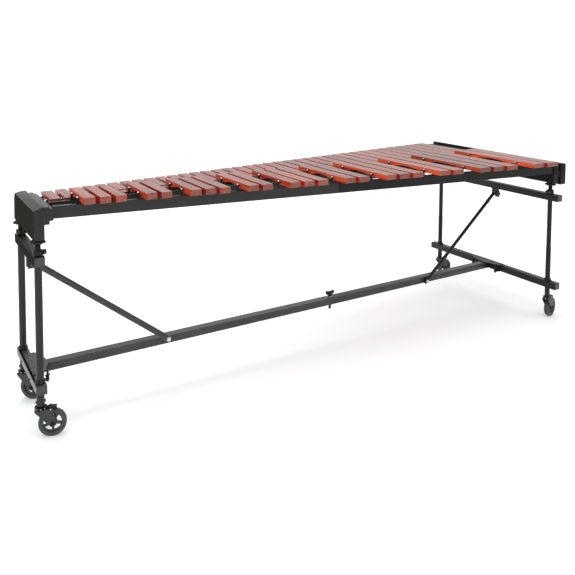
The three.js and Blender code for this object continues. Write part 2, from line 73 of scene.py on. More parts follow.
# ---- materials
class Surface:
    """A Principled material with short ways to add texture nodes."""

    def __init__(self, name, roughness, metallic=0.0, coat=0.0, coat_roughness=0.1, shine=0.5):
        self.material = bpy.data.materials.new(name)
        self.material.use_nodes = True
        self.tree = self.material.node_tree
        self.shader = self.tree.nodes["Principled BSDF"]
        for key, value in (
            ("Roughness", roughness), ("Metallic", metallic), ("Coat Weight", coat),
            ("Coat Roughness", coat_roughness), ("Specular IOR Level", shine),
        ):
            self.shader.inputs[key].default_value = value
        self.place = self.add("ShaderNodeTexCoord").outputs["Object"]

    def add(self, kind, **settings):
        made = self.tree.nodes.new(kind)
        for key, value in settings.items():
            if key in made.inputs:
                made.inputs[key].default_value = value
            else:
                setattr(made, key, value)
        return made

    def link(self, source, target):
        """Joins an output to an input, or sets the input's value."""
        if isinstance(source, bpy.types.NodeSocket):
            self.tree.links.new(source, target)
        else:
            target.default_value = source

    def stretched(self, scale, offset=None):
        mapping = self.add("ShaderNodeMapping", Scale=scale)
        self.link(self.place, mapping.inputs["Vector"])
        if offset is not None:
            self.link(offset, mapping.inputs["Location"])
        return mapping.outputs["Vector"]

    def noise(self, scale, detail=4.0, roughness=0.5, vector=None, distortion=0.0):
        texture = self.add("ShaderNodeTexNoise", Scale=scale, Detail=detail,
                           Roughness=roughness, Distortion=distortion)
        self.link(vector or self.place, texture.inputs["Vector"])
        return texture.outputs["Fac"]

    def ramp(self, value, *stops):
        node = self.add("ShaderNodeValToRGB")
        elements = node.color_ramp.elements
        while len(elements) < len(stops):
            elements.new(0.5)
        for element, (position, colour) in zip(elements, stops):
            element.position = position
            element.color = (*colour, 1)
        self.link(value, node.inputs["Fac"])
        return node.outputs["Color"]

    def mix(self, factor, first, second, blend="MIX"):
        node = self.add("ShaderNodeMix", data_type="RGBA", blend_type=blend)
        for value, target in ((factor, 0), (first, 6), (second, 7)):
            self.link(value, node.inputs[target])
        return node.outputs[2]

    def maths(self, operation, first, second=0.0):
        node = self.add("ShaderNodeMath", operation=operation)
        self.link(first, node.inputs[0])
        self.link(second, node.inputs[1])
        return node.outputs[0]

    def bump(self, height, strength, distance):
        node = self.add("ShaderNodeBump", Strength=strength, Distance=distance)
        self.link(height, node.inputs["Height"])
        self.link(node.outputs["Normal"], self.shader.inputs["Normal"])

    def colour(self, output):
        self.link(output, self.shader.inputs["Base Color"])

    def roughness(self, value, low, high):
        spread = self.add("ShaderNodeMapRange", **{"To Min": low, "To Max": high})
        self.link(value, spread.inputs["Value"])
        self.link(spread.outputs["Result"], self.shader.inputs["Roughness"])

    def mottled(self, patches, wear, relief, detail=2.0):
        """Colour, roughness and bump, each from a noise and each given as (scale, two values)."""
        self.colour(self.ramp(self.noise(patches[0]), *patches[1:]))
        self.roughness(self.noise(wear[0]), *wear[1:])
        self.bump(self.noise(relief[0], detail=detail), *relief[1:])
        return self.material


def powder_coat(name, dark, light, shine=0.45):
    """Fine orange-peel powder coat with slightly polished patches."""
    return Surface(name, 0.42, shine=shine).mottled(
        (9.0, (0.35, dark), (0.7, light)), (22.0, 0.34, 0.5), (1400.0, 0.25, 0.0002))


def lacquer(name, dark, light, shine):
    """Satin black lacquer over wood, with a faint grain along X."""
    surface = Surface(name, 0.38, shine=shine)
    grain = surface.noise(1.0, detail=6.0, vector=surface.stretched((6, 160, 160)))
    surface.colour(surface.ramp(grain, (0.3, dark), (0.75, light)))
    surface.roughness(grain, 0.32, 0.46)
    surface.bump(grain, 0.12, 0.0004)
    return surface.material


def plastic(name, tone, low=0.38, high=0.55, shine=0.5):
    lighter = tuple(part * 1.35 for part in tone)
    return Surface(name, low, shine=shine).mottled(
        (60.0, (0.4, tone), (0.7, lighter)), (140.0, low, high), (2200.0, 0.2, 0.0001))


def metal(name, tone, low, high):
    darker = tuple(part * 0.8 for part in tone)
    return Surface(name, low, metallic=1.0).mottled(
        (180.0, (0.35, darker), (0.65, tone)), (320.0, low, high), (2600.0, 0.1, 0.0001))


def tread():
    dark, light = (0.028, 0.028, 0.029), (0.052, 0.052, 0.053)
    return Surface("tyre_tread", 0.6).mottled(
        (45.0, (0.35, dark), (0.7, light)), (90.0, 0.48, 0.7), (900.0, 0.3, 0.0003), detail=4.0)


def braided_cord():
    surface = Surface("braided_cord", 0.75)
    weave = surface.add("ShaderNodeTexWave", Scale=420.0, Distortion=2.0)
    weave.bands_direction = "DIAGONAL"
    surface.link(surface.place, weave.inputs["Vector"])
    height = weave.outputs["Fac"]
    surface.colour(surface.ramp(height, (0.2, (0.008, 0.008, 0.009)), (0.9, (0.03, 0.03, 0.032))))
    surface.bump(height, 0.5, 0.0003)
    return surface.material


def padauk():
    """Padauk: long fibres along Y, growth streaks, pores, and end grain on the sawn ends.

    Each bar stores where its grain starts (bar_shift), its own tone mixed with painted shade that
    deepens towards the bass end (bar_tint), and which of its sides have no neighbour close by and so
    get no painted shade (bar_side_unshaded).
    """
    surface = Surface("padauk", 0.42, coat=0.36, coat_roughness=0.17, shine=0.40)
    own, tone_and_shade, clear = (
        surface.add("ShaderNodeAttribute", attribute_name=name, attribute_type="GEOMETRY")
        for name in ("bar_shift", "bar_tint", "bar_side_unshaded")
    )
    facing_least = 0.8  # of the normal's own length, for a face to count as facing that way
    streak = surface.noise(
        1.0, detail=5.0, roughness=0.55, distortion=0.35,
        vector=surface.stretched((140, 2.0, 80), own.outputs["Vector"]),
    )
    fibre = surface.noise(
        1.0, detail=4.0, roughness=0.7,
        vector=surface.stretched((520, 11, 520), own.outputs["Vector"]),
    )
    long_grain = surface.ramp(
        streak, (0.33, (0.20, 0.014, 0.003)), (0.46, (0.50, 0.042, 0.007)),
        (0.58, (0.66, 0.082, 0.011)), (0.70, (0.34, 0.026, 0.005)),
    )
    pores = surface.ramp(fibre, (0.36, (0.34, 0.30, 0.30)), (0.55, (1.0, 1.0, 1.0)))
    along = surface.mix(0.7, long_grain, pores, "MULTIPLY")
    rings = surface.noise(
        1.0, detail=6.0, roughness=0.65, distortion=0.6,
        vector=surface.stretched((90, 90, 210), own.outputs["Vector"]),
    )
    sawn = surface.ramp(rings, (0.32, (0.10, 0.018, 0.011)), (0.62, (0.29, 0.060, 0.036)))
    facing = surface.add("ShaderNodeSeparateXYZ")
    geometry = surface.add("ShaderNodeNewGeometry")
    surface.link(geometry.outputs["Normal"], facing.inputs[0])
    end_on, sideways = (
        surface.maths("GREATER_THAN", surface.maths("ABSOLUTE", facing.outputs[axis]), facing_least)
        for axis in "YX"
    )
    upward = surface.maths("GREATER_THAN", facing.outputs["Z"], facing_least)
    # The upward faces take their own darker, streaked colour.
    top_streaks = surface.ramp(
        streak, (0.38, (0.026, 0.004, 0.002)), (0.46, (0.14, 0.026, 0.014)),
        (0.55, (0.32, 0.085, 0.050)), (0.65, (0.05, 0.009, 0.005)),
    )
    along = surface.mix(upward, along, surface.mix(0.6, top_streaks, pores, "MULTIPLY"))
    # painted shade: sides with a neighbour close by are darkened to a deep red, the shade of a narrow
    # gap; sides with no close neighbour keep their colour
    shade = surface.ramp(clear.outputs["Fac"], (0.0, (0.62, 0.24, 0.24)), (1.0, (1.0, 1.0, 1.0)))
    # painted light: the sides facing along X get a slightly warmer copy of the grain colour
    painted_side_light = surface.mix(1.0, along, (1.02, 1.02, 0.95, 1), "MULTIPLY")
    shaded = surface.mix(1.0, painted_side_light, shade, "MULTIPLY")
    along = surface.mix(sideways, along, shaded)
    both = surface.mix(end_on, along, sawn)
    # each bar's own tone, mixed with painted shade that deepens towards the bass end
    tone_and_shade_colour = surface.ramp(tone_and_shade.outputs["Fac"], (0.0, (0.62, 0.63, 0.72)), (1.0, (1.25, 1.18, 1.06)))
    surface.colour(surface.mix(1.0, both, tone_and_shade_colour, "MULTIPLY"))
    surface.roughness(fibre, 0.40, 0.56)
    surface.bump(fibre, 0.18, 0.0003)
    return surface.material


FRAME_COAT = powder_coat("frame_powder_coat", (0.022, 0.023, 0.0235), (0.033, 0.034, 0.0345))
LEG_COAT = powder_coat("leg_powder_coat", (0.008, 0.0085, 0.0085), (0.014, 0.0145, 0.0145), 0.34)
# painted shade: a darker copy of the powder coat for the bass end, which stands in a dimmer light
BASS_SHADE_COAT = powder_coat("bass_powder_coat_painted_shade", (0.007, 0.0072, 0.0072), (0.012, 0.0122, 0.0122), 0.24)
DARK_COAT = powder_coat("dark_coat", (0.018, 0.019, 0.020), (0.030, 0.031, 0.032))
RAIL_LACQUER = lacquer("rail_lacquer", (0.009, 0.009, 0.0095), (0.015, 0.015, 0.0155), 0.36)
# painted shade: a darker, less shiny copy of the rail lacquer for the bass halves, which stand in a
# dimmer light
RAIL_BASS_SHADE = lacquer("rail_satin", (0.006, 0.006, 0.0062), (0.010, 0.010, 0.0102), 0.2)
BOARD_LACQUER = lacquer("board_lacquer", (0.008, 0.0083, 0.0064), (0.013, 0.0135, 0.0105), 0.3)
# painted shade: a darker, less shiny copy of the board lacquer for the bass board and its hanger,
# which stand in a dimmer light
BOARD_BASS_SHADE = lacquer("board_lacquer_bass_shade", (0.004, 0.0042, 0.0040), (0.007, 0.0073, 0.0070), 0.1)
# painted shade: a copy of the lacquer with no sheen, for the outward faces of the end boards and the
# treble cross tubes, as if little light reached them from the side
BOARD_SIDE_SHADE = lacquer("board_side_painted_shade", (0.020, 0.021, 0.0155), (0.028, 0.029, 0.022), 0.0)
BLACK_PLASTIC = plastic("black_plastic", (0.005, 0.005, 0.0055), shine=0.28)
# painted shadow: a flat black with no sheen, for the black band along the treble tube's top edge and
# for the two screws on the pale strip
SHADOW_BAND_BLACK = plastic("seam_black", (0.002, 0.002, 0.002), 0.6, 0.8, shine=0.0)
POST_BLACK = plastic("post_black", (0.005, 0.005, 0.0055), 0.24, 0.36, shine=0.16)
CORE_PLASTIC = plastic("wheel_core_plastic", (0.030, 0.031, 0.032))
# painted light: a pale plastic for the strip over the treble tube's outer face, standing for the
# light that face catches
PAINTED_LIGHT_STRIP = plastic("pale_strip_painted_light", (0.16, 0.165, 0.145), 0.5, 0.65)
DARK_STEEL = metal("dark_steel", (0.12, 0.12, 0.125), 0.32, 0.5)
BRIGHT_STEEL = metal("bright_steel", (0.72, 0.72, 0.73), 0.18, 0.34)
RACE_BLACK = metal("race_black", (0.03, 0.03, 0.032), 0.3, 0.45)
TYRE = tread()
CORD = braided_cord()
PADAUK = padauk()


# ---- mesh helpers
def new_object(name, mesh):
    piece = bpy.data.objects.new(name, mesh)
    bpy.context.scene.collection.objects.link(piece)
    return piece


def from_bmesh(name, bm):
    bmesh.ops.recalc_face_normals(bm, faces=bm.faces)
    mesh = bpy.data.meshes.new(name)
    bm.to_mesh(mesh)
    bm.free()
    return new_object(name, mesh)


def bevel_edges(piece, width, segments, degrees):
    """Rounds the edges that turn by more than an angle."""
    edge = piece.modifiers.new("rounded_edges", "BEVEL")
    edge.width = width
    edge.segments = segments
    edge.limit_method = "ANGLE"
    edge.angle_limit = math.radians(degrees)
    return edge


def rounded(piece, width, segments):
    """Rounds the piece's edges, and shades the rest smooth."""
    bevel_edges(piece, width, segments, 35).harden_normals = True
    piece.data.shade_smooth()


def finish_piece(piece, material, body, slot, *replaced):
    """Gives a piece its material, body and the CAD nodes that it stands for; slot is not used."""
    piece.data.materials.clear()
    piece.data.materials.append(material)
    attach(piece, body)
    if replaced:
        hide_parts(*replaced)
    return piece


def baked(piece):
    """The piece with its modifiers applied."""
    bpy.context.view_layer.update()
    evaluated = piece.evaluated_get(bpy.context.evaluated_depsgraph_get())
    mesh = bpy.data.meshes.new_from_object(evaluated)
    piece.modifiers.clear()
    old = piece.data
    piece.data = mesh
    bpy.data.meshes.remove(old)
    return piece


def carved(piece, cutter):
    """Cuts the cutter out of the piece and removes the cutter."""
    cut = piece.modifiers.new("cut", "BOOLEAN")
    cut.operation = "DIFFERENCE"
    cut.solver = "EXACT"
    cut.object = cutter
    baked(piece)
    bpy.data.objects.remove(cutter)


def skin(bm, layers):
    """Joins each ring of vertices to the next one with four-sided faces."""
    count = len(layers[0])
    for first, second in zip(layers, layers[1:]):
        for i in range(count):
            j = (i + 1) % count
            bm.faces.new((first[i], first[j], second[j], second[i]))


def loft(bm, rings):
    """A solid from rings of points, each ring the same length, with its two ends closed."""
    layers = [[bm.verts.new(point) for point in ring] for ring in rings]
    skin(bm, layers)
    bm.faces.new(list(reversed(layers[0])))
    bm.faces.new(layers[-1])


def loft_round(bm, rings):
    """A solid with a hole through it: the last ring of points joins the first."""
    layers = [[bm.verts.new(point) for point in ring] for ring in rings]
    skin(bm, layers + layers[:1])


def across(axis):
    """Two unit vectors at right angles to an axis."""
    axis = Vector(axis).normalized()
    side = axis.cross(Vector(UP))
    if side.length < 1e-3:
        side = axis.cross(Vector((0, 1, 0)))
    side.normalize()
    return side, axis.cross(side).normalized()


def turns(count):
    return [2 * math.pi * i / count for i in range(count)]


def circle(centre, side, up, radius, sides):
    return [
        centre + side * (radius * math.cos(turn)) + up * (radius * math.sin(turn))
        for turn in turns(sides)
    ]


def add_turned(bm, start, axis, profile, sides=48):
    """A turned form: profile is a list of (distance along the axis, radius)."""
    start, axis = Vector(start), Vector(axis).normalized()
    side, up = across(axis)
    loft(bm, [circle(start + axis * along, side, up, radius, sides) for along, radius in profile])


def add_rod(bm, start, end, radius, sides):
    axis = Vector(end) - Vector(start)
    add_turned(bm, start, axis, [(0, radius), (axis.length, radius)], sides)


def add_sleeve(bm, start, axis, profile, bore, sides=48):
    """A turned ring with a straight bore; profile runs along the outside as (distance, radius)."""
    start, axis = Vector(start), Vector(axis).normalized()
    side, up = across(axis)
    shape = [(profile[0][0], bore), *profile, (profile[-1][0], bore)]
    loft_round(
        bm, [circle(start + axis * along, side, up, radius, sides) for along, radius in shape])


def add_box(bm, low, high):
    size = Vector(high) - Vector(low)
    centre = (Vector(high) + Vector(low)) / 2
    place = Matrix.Translation(centre) @ Matrix.Diagonal((*size, 1))
    bmesh.ops.create_cube(bm, size=1, matrix=place)


def add_prism(bm, outline, start, end):
    """A closed outline of points carried from offset start to offset end."""
    loft(bm, [[Vector(p) + Vector(offset) for p in outline] for offset in (start, end)])


def add_star(bm, centre, axis, radius, height, lobes, depth, bore):
    """A lobed hand-wheel with its rim rolled over and a round bore."""
    side, up = across(axis)
    axis, centre = Vector(axis).normalized(), Vector(centre)
    count = lobes * 14
    rings = [circle(centre, side, up, bore, count)]
    for along, share in ((0, 0.9), (0.12, 0.98), (0.3, 1), (0.7, 1), (0.88, 0.98), (1, 0.9)):
        middle = centre + axis * (height * along)
        ring = []
        for turn in turns(count):
            reach = radius * share * (1 - depth * (0.5 - 0.5 * math.cos(lobes * turn)) ** 1.6)
            ring.append(middle + side * (reach * math.cos(turn)) + up * (reach * math.sin(turn)))
        rings.append(ring)
    rings.append(circle(centre + axis * height, side, up, bore, count))
    loft_round(bm, rings)


def add_hex(bm, start, axis, flats, height):
    """A hexagon bolt head or nut with a domed end."""
    profile = [(0, flats / 2), (height * 0.75, flats / 2), (height, flats * 0.4)]
    add_turned(bm, start, axis, profile, 6)


def add_pan_head(bm, start, axis, radius, height):
    """A domed screw head with a dimple for its driver."""
    profile = [(0, 1), (0.5, 0.95), (0.85, 0.7), (1, 0.3), (0.8, 0.22)]
    add_turned(bm, start, axis, [(height * a, radius * b) for a, b in profile], 20)


def piece_of(name, bm, material, body, slot, *replaced, bevel=0.0, segments=2):
    """A finished piece straight from its bmesh."""
    piece = from_bmesh(name, bm)
    if bevel:
        rounded(piece, bevel, segments)
    else:
        piece.data.shade_smooth()
    return finish_piece(piece, material, body, slot, *replaced)


def refined(node, material, slot, width, segments, dissolve=1.0):
    """A copy of a CAD node with its triangles merged into faces and its edges rounded."""
    bm = bmesh.new()
    bm.from_mesh(NODES[node].data)
    bmesh.ops.remove_doubles(bm, verts=bm.verts, dist=1e-5)
    bmesh.ops.dissolve_limit(
        bm, angle_limit=math.radians(dissolve), verts=bm.verts, edges=bm.edges)
    return piece_of(node + "_finished", bm, material, NODES[node]["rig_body"], slot, node,
                    bevel=width, segments=segments)


def corner_points(node, height, tolerance=0.0002):
    """The distinct (x, y) of a node's vertices at a height."""
    found = {
        (round(v.co.x, 5), round(v.co.y, 5))
        for v in NODES[node].data.vertices if abs(v.co.z - height) < tolerance
    }
    return sorted(found)


# ---- bars
BAR_RELIEF = 0.00015  # keeps a bar's rounded top within the solid it replaces
NODE_SHARE = 0.224  # where a free bar doesn't move, as a share of its length
WIDE_GAP = 0.03  # a wider gap has room for a bar of the other row, and two posts in it
DIM_FROM, DIM_RUN = -0.6, 1.85  # the X where the light starts to fall off, and how far it does


class Bar:
    """One bar's box, read from its octave's CAD node."""

    def __init__(self, node, x0, x1, near, far, bottom, top):
        self.node = node
        self.x0, self.x1, self.near, self.far = x0, x1, near, far
        self.bottom, self.top = bottom, top
        self.x = (x0 + x1) / 2
        self.thickness = top - bottom
        self.middle = top - self.thickness / 2


def bars_of(node):
    """The bars of one octave, from the four corners of each one's flat top."""
    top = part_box(node)[1].z
    corners = corner_points(node, top)
    heights = [(v.co.x, v.co.z) for v in NODES[node].data.vertices]
    edges = sorted({x for x, _ in corners})
    found = []
    for x0, x1 in zip(edges[::2], edges[1::2]):
        ys = [y for x, y in corners if x == x0]
        bottom = min(z for x, z in heights if abs(x - x0) < 1e-4)
        found.append(Bar(node, x0, x1, min(ys), max(ys), bottom, top - BAR_RELIEF))
    return found


def rail_plan(row, half):
    """Half a rail's box, and the Y of its two sides at its low and at its high X."""
    low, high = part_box(f"rail_{row}_{half}")
    foot = corner_points(f"rail_{row}_{half}", low.z)
    begin, end = ([y for x, y in foot if abs(x - edge) < 1e-4] for edge in (low.x, high.x))
    return low, high, sorted(begin), sorted(end)


def row_line(row):
    """Y of a rail's middle as a function of X, from its treble half."""
    low, high, begin, end = rail_plan(row, "treble")
    y0, y1 = sum(begin) / len(begin), sum(end) / len(end)
    slope = (y1 - y0) / (high.x - low.x)
    return lambda x: y0 + slope * (x - low.x)


ROW_NAMES = ("accidental_outer", "accidental_inner", "natural_inner", "natural_outer")
ROWS = {row: row_line(row) for row in ROW_NAMES}
BAR_ROWS = {
    kind: ([bar for octave in (5, 4, 3, 2, 1) for bar in bars_of(f"{kind}_bars_{octave}")], rows)
    for kind, rows in (
        ("natural", ("natural_inner", "natural_outer")),
        ("accidental", ("accidental_outer", "accidental_inner")),
    )
}
HOLE_RADIUS = 0.0034
CORD_RADIUS = 0.002


def bar_outline(bar):
    """The bar's side view: flat top, and an underside scooped between its cord holes."""
    length = bar.far - bar.near
    edge = length * (NODE_SHARE + 0.06)
    depth = bar.thickness * (0.35 + 0.25 * min(1, length / 0.56))
    outline = [(bar.near, bar.top), (bar.near, bar.bottom)]
    steps = 18
    for i in range(steps + 1):
        share = i / steps
        arch = math.sin(math.pi * share) ** 0.85
        outline.append((bar.near + edge + (length - 2 * edge) * share, bar.bottom + depth * arch))
    return outline + [(bar.far, bar.bottom), (bar.far, bar.top)]


def make_bar(name, bar, rows, clear, rng):
    """One bar with its cord holes; clear says which of its two sides has no neighbour close by, and
    so takes no painted shade.
    """
    bm = bmesh.new()
    outline = [(0, y, z) for y, z in bar_outline(bar)]
    add_prism(bm, outline, (bar.x0, 0, 0), (bar.x1, 0, 0))
    piece = from_bmesh(name, bm)
    cutter = bmesh.new()
    past = 0.003
    for row in rows:
        line = ROWS[row]
        ends = [(x, line(x), bar.middle) for x in (bar.x0 - past, bar.x1 + past)]
        add_rod(cutter, *ends, HOLE_RADIUS, 16)
    carved(piece, from_bmesh("cord_hole_cutter", cutter))
    rounded(piece, 0.0014, 3)
    count = len(piece.data.vertices)
    shift = [rng.uniform(-9, 9) for _ in range(3)]
    # painted shade: the further a bar lies towards the bass end, the dimmer it is; each bar's tone is
    # two thirds random and one third this painted shade
    dimmer = min(1, max(0, (bar.x0 - DIM_FROM) / DIM_RUN))
    tone_and_shade = 0.67 * rng.random() + 0.33 * (1 - dimmer)
    stored = piece.data.attributes
    stored.new("bar_shift", "FLOAT_VECTOR", "POINT").data.foreach_set("vector", shift * count)
    stored.new("bar_tint", "FLOAT", "POINT").data.foreach_set("value", [tone_and_shade] * count)
    # painted shade: a side with a neighbour close by is stored as 0 and darkened in the padauk
    # colour; a side with none is stored as 1
    sides = stored.new("bar_side_unshaded", "FLOAT", "FACE")
    for face in piece.data.polygons:
        sides.data[face.index].value = clear[0] if face.normal.x < 0 else clear[1]
    return finish_piece(piece, PADAUK, "keyboard", "bar_wood", bar.node)


def make_bars():
    rng = random.Random(61)
    for kind, (bars, rows) in BAR_ROWS.items():
        for number, bar in enumerate(bars, 1):
            before, after = bars[max(0, number - 2)], bars[min(len(bars) - 1, number)]
            # a side with a neighbour close by takes painted shade
            clear = (
                before is bar or bar.x0 - before.x1 > WIDE_GAP,
                after is bar or after.x0 - bar.x1 > WIDE_GAP,
            )
            make_bar(f"{kind}_bar_{number:02d}", bar, rows, clear, rng)


# ---- rails, cords and cord posts
def post_places(bars):
    """X of the cord posts: half way across each gap, and beside a bar that has no neighbour."""
    beside = 0.00825
    places = [bars[0].x0 - beside]
    for first, second in zip(bars, bars[1:]):
        if second.x0 - first.x1 > WIDE_GAP:
            places += [first.x1 + beside, second.x0 - beside]
        else:
            places.append((first.x1 + second.x0) / 2)
    return places + [bars[-1].x1 + beside]


def nearest_bar(bars, x):
    return min(bars, key=lambda bar: abs(bar.x - x))


def rail_top(row):
    """The rail's own top: the height of most of its vertices above its foot."""
    heights = [round(v.co.z, 4) for v in NODES[f"rail_{row}_treble"].data.vertices]
    low = min(heights)
    clear_of_foot = 0.02
    upper = [z for z in heights if z > low + clear_of_foot]
    return max(set(upper), key=upper.count)


RAIL_TOPS = {row: rail_top(row) for row in ROWS}


def make_rail(row, half):
    low, high, begin, end = rail_plan(row, half)
    top = RAIL_TOPS[row]
    bm = bmesh.new()
    loft(bm, [
        [(x, y0, low.z), (x, y1, low.z), (x, y1, top), (x, y0, top)]
        for x, (y0, y1) in ((low.x, begin), (high.x, end))
    ])
    # the bass half gets the darker copy of the lacquer as painted shade
    finish = RAIL_LACQUER if half == "treble" else RAIL_BASS_SHADE
    piece_of(f"rail_{row}_{half}_finished", bm, finish, "keyboard", "rail_satin_black",
             f"rail_{row}_{half}", bevel=0.0022, segments=4)


def make_posts(row, bars):
    """Flanged black posts with a rubber sleeve, a hook round the cord and a bright head."""
    line, foot = ROWS[row], RAIL_TOPS[row]
    black, bright = bmesh.new(), bmesh.new()
    for x in post_places(bars):
        cord = nearest_bar(bars, x).middle
        y = line(x)
        add_turned(black, (x, y, foot), UP, [
            (0, 0.0062), (0.0016, 0.0062), (0.0022, 0.0048), (cord - foot - 0.006, 0.0046),
            (cord - foot - 0.005, 0.0049), (cord - foot - 0.0021, 0.0049)], 20)
        for side in (-1, 1):
            hook = y + side * 0.0036
            add_rod(black, (x, hook, cord - 0.005), (x, hook, cord + 0.0035), 0.0013, 8)
        add_rod(bright, (x, y, cord + 0.0024), (x, y, cord + 0.005), 0.0044, 16)
        add_pan_head(bright, (x, y, cord + 0.005), UP, 0.0036, 0.0018)
    name = f"cord_posts_{row}"
    piece_of(name, black, POST_BLACK, "keyboard", "rail_satin_black", bevel=0.0004)
    piece_of(name + "_heads", bright, BRIGHT_STEEL, "keyboard", "caster_steel", bevel=0.0003)


def make_cord(row, bars):
    """One cord through every bar of a row, dipping a little between its posts."""
    line = ROWS[row]
    places = post_places(bars)
    points = []
    for first, second in zip(places, places[1:]):
        steps = 3
        for i in range(steps):
            x = first + (second - first) * i / steps
            dip = 0.0006 * math.sin(math.pi * i / steps)
            points.append((x, line(x), nearest_bar(bars, x).middle - dip))
    x = places[-1]
    points.append((x, line(x), bars[-1].middle))
    curve = bpy.data.curves.new(f"cord_{row}", "CURVE")
    curve.dimensions = "3D"
    curve.bevel_depth = CORD_RADIUS
    curve.bevel_resolution = 2
    curve.use_fill_caps = True
    spline = curve.splines.new("POLY")
    spline.points.add(len(points) - 1)
    for point, place in zip(spline.points, points):
        point.co = (*place, 1)
    piece = new_object(f"cord_{row}", curve)
    finish_piece(piece, CORD, "keyboard", "rail_satin_black")


def make_rails():
    for row in ROWS:
        for half in ENDS:
            make_rail(row, half)
    for bars, rows in BAR_ROWS.values():
        for row in rows:
            make_posts(row, bars)
            make_cord(row, bars)
    make_splice_screws()


def make_splice_screws():
    """Four screw heads under the naturals' outer rail, either side of its joint."""
    bm = bmesh.new()
    for half, places in (("treble", (-0.174, -0.0735)), ("bass", (-0.0545, 0.0655))):
        low, high, near, far = rail_plan("natural_outer", half)
        for x in places:
            share = (x - low.x) / (high.x - low.x)
            y = sum(near) / 2 * (1 - share) + sum(far) / 2 * share
            add_pan_head(bm, (x, y, low.z + 0.0001), (0, 0, -1), 0.0048, 0.0032)
    piece_of("splice_screws", bm, DARK_STEEL, "keyboard", "caster_steel", bevel=0.0003)


# ---- end boards and hangers
def shade_faces(piece, material, way):
    """Gives the faces that look one way along X their own material, which is painted shade for that
    side.
    """
    piece.data.materials.append(material)
    for face in piece.data.polygons:
        if face.normal.x * way > 0.9:
            face.material_index = 1


def make_ends():
    # the bass board and hanger take the darker copy of the lacquer as painted shade
    lacquers = {"treble": (BOARD_LACQUER, RAIL_LACQUER), "bass": (BOARD_BASS_SHADE, BOARD_BASS_SHADE)}
    for end, (board_finish, hanger_finish) in lacquers.items():
        board = refined(f"end_board_{end}", board_finish, "board_black", 0.003, 4, 0.5)
        # the board's face looking away from the middle takes painted shade
        shade_faces(board, BOARD_SIDE_SHADE, -ENDS[end])
        refined(f"rail_hanger_{end}", hanger_finish, "rail_satin_black", 0.002, 3, 0.5)


# ---- stand
BEAM_BOTTOM = 0.171
PLATE = 0.004  # thickness of the gussets' plates
CLAMP_REACH = 0.084  # from a gusset's middle to its clamp screws
# the bass end stands in a dimmer light, so its coat is darker
COATS = {"treble": LEG_COAT, "bass": BASS_SHADE_COAT}
PLATE_COATS = {"treble": FRAME_COAT, "bass": BASS_SHADE_COAT}
# the two ends' legs: radius above the step and below it
LEG_RADII = {"treble": (0.0137, 0.0137), "bass": (0.012, 0.013)}
LEG_BORE = 0.0105
STEP_HEIGHT = 0.385


def rounded_plan(points, radius):
    """A polygon in plan with each corner cut back to a short curve."""
    plan = []
    for i, corner in enumerate(points):
        corner = Vector(corner)
        before, after = Vector(points[i - 1]), Vector(points[(i + 1) % len(points)])
        a = corner + (before - corner).normalized() * radius
        b = corner + (after - corner).normalized() * radius
        for k in range(5):
            t = k / 4
            plan.append(a * (1 - t) ** 2 + corner * 2 * t * (1 - t) + b * t ** 2)
    return plan


def make_gusset(end):
    """The gusset plate over the tube and beam, its angle below, and its two clamp screws."""
    low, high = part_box(f"corner_bracket_{end}")
    tube_low, tube_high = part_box(f"lower_cross_tube_{end}")
    inward = ENDS[end]
    face = (tube_high.x if inward > 0 else tube_low.x) + inward * SEAT_GAP
    middle = (low.y + high.y) / 2
    deck = tube_high.z + SEAT_GAP
    foot = BEAM_BOTTOM - 0.003

    def block(a, b, z0, z1, way, y0, y1):
        x0, x1 = sorted((face + inward * a, face + inward * b))
        near, far = sorted((middle + way * y0, middle + way * y1))
        add_box(bm, (x0, near, z0), (x1, far, z1))

    bm = bmesh.new()
    corners = [(-0.030, -0.100), (0.010, -0.100), (0.038, -0.0243),
               (0.038, 0.0243), (0.010, 0.100), (-0.030, 0.100)]
    plan = rounded_plan([(face + inward * a, middle + b, deck) for a, b in corners], 0.004)
    add_prism(bm, plan, (0, 0, 0), (0, 0, PLATE))
    screws = bmesh.new()
    x = face + inward * 0.024
    cheek = 0.0203  # from the middle to the beam's side
    lap = 0.001  # how far the plates run into the one above them
    for way in (-1, 1):
        block(0, PLATE, foot, deck + lap, way, cheek, 0.100)
        block(0.002, 0.038, BEAM_BOTTOM + 0.002, deck + lap, way, cheek, cheek + PLATE)
        block(0.0004, 0.028, foot, foot + 0.006, way, 0.075, 0.093)
        y = middle + way * CLAMP_REACH
        add_rod(screws, (x, y, low.z + 0.006), (x, y, deck + 0.003), 0.0045, 16)
        add_turned(screws, (x, y, low.z + 0.011), UP, [
            (0, 0.0056), (0.001, 0.0066), (0.0215, 0.0066), (0.0225, 0.0056)], 24)
        handle = foot + 0.0195
        add_rod(screws, (x - 0.010, y - 0.004, handle), (x + 0.010, y + 0.004, handle), 0.0029, 12)
    piece_of(f"corner_bracket_{end}_plates", bm, PLATE_COATS[end], "stand", "frame_powder_coat",
             f"corner_bracket_{end}", bevel=0.0010)
    piece_of(f"corner_bracket_{end}_clamps", screws, RACE_BLACK, "stand", "caster_steel",
             bevel=0.0004)


def make_tubes():
    """The four cross tubes with their gussets and brace brackets, and the two stretcher halves."""
    for end in ENDS:
        for level, coat in (("lower", PLATE_COATS[end]), ("upper", COATS[end])):
            tube = refined(f"{level}_cross_tube_{end}", coat, "frame_powder_coat", 0.003, 4)
            # the treble tubes' faces looking away from the middle take painted shade
            if end == "treble":
                shade_faces(tube, BOARD_SIDE_SHADE, -1)
        make_gusset(end)
        refined(f"brace_bracket_{end}", COATS[end], "frame_powder_coat", 0.001, 2)
    for half in ENDS:
        refined(f"stretcher_{half}_half", FRAME_COAT, "frame_powder_coat", 0.003, 4)


